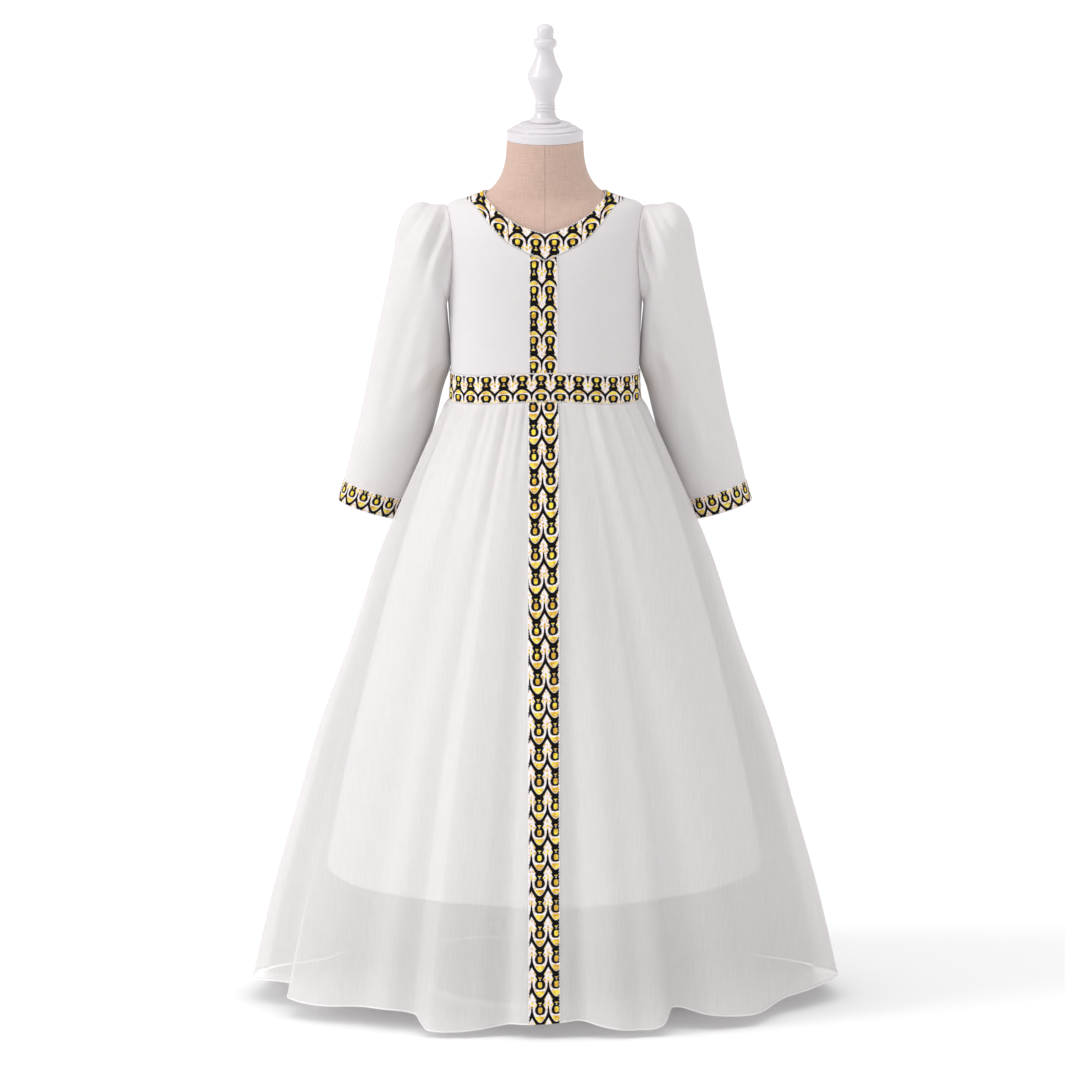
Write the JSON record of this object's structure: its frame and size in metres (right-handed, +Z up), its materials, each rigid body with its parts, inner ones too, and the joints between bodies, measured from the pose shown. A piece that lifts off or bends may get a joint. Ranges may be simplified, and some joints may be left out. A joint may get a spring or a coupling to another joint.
{
  "type": "dress on a dress form",
  "caption": "Girl's long high-waisted gown with long sleeves and patterned trim bands, standing on a limbless linen dress form with a turned finial.",
  "frame": {"origin": "centre of the base's underside, on the floor", "axes": "+Z up the dress form's pole, -Y out of the gown's front, +X to the right of someone who looks at the front"},
  "size_m": [0.6625, 0.5887, 1.1249],
  "materials": {
    "white_cloth": "soft matt plain weave",
    "sheer_cloth": "soft semi-sheer chiffon",
    "woven_trim": "woven pattern of black and gold on white",
    "linen": "coarse natural linen",
    "white_paint": "satin white paint on turned wood",
    "painted_steel": "satin white paint",
    "zip_nylon": "nylon coil",
    "zip_metal": "bright die-cast"
  },
  "bodies": {
    "gown_and_form": {"bodice_front": "white_cloth", "bodice_back_left": "white_cloth", "bodice_back_right": "white_cloth", "neckband_front": "woven_trim", "neckband_back_left": "woven_trim", "neckband_back_right": "woven_trim", "front_band_bodice": "woven_trim", "front_band_skirt": "woven_trim", "waistband": "woven_trim", "sleeve_left": "sheer_cloth", "sleeve_right": "sheer_cloth", "cuff_left": "woven_trim", "cuff_right": "woven_trim", "skirt_front": "sheer_cloth", "skirt_back_left": "sheer_cloth", "skirt_back_right": "sheer_cloth", "lining_front": "white_cloth", "lining_back_left": "white_cloth", "lining_back_right": "white_cloth", "zip_chain": "zip_nylon", "zip_slider": "zip_metal", "form_torso": "linen", "neck_cap": "white_paint", "finial": "white_paint", "pole": "painted_steel", "base": "painted_steel"},
    "zip_pull": {"zip_pull": "zip_metal"}
  },
  "joints": [
    {"name": "zip_pull_hinge", "type": "hinge", "parent": "gown_and_form", "child": "zip_pull", "pos_m": [0, 0.06872, 0.91814], "axis": [1, 0, 0], "range_deg": [0, 140]}
  ]
}
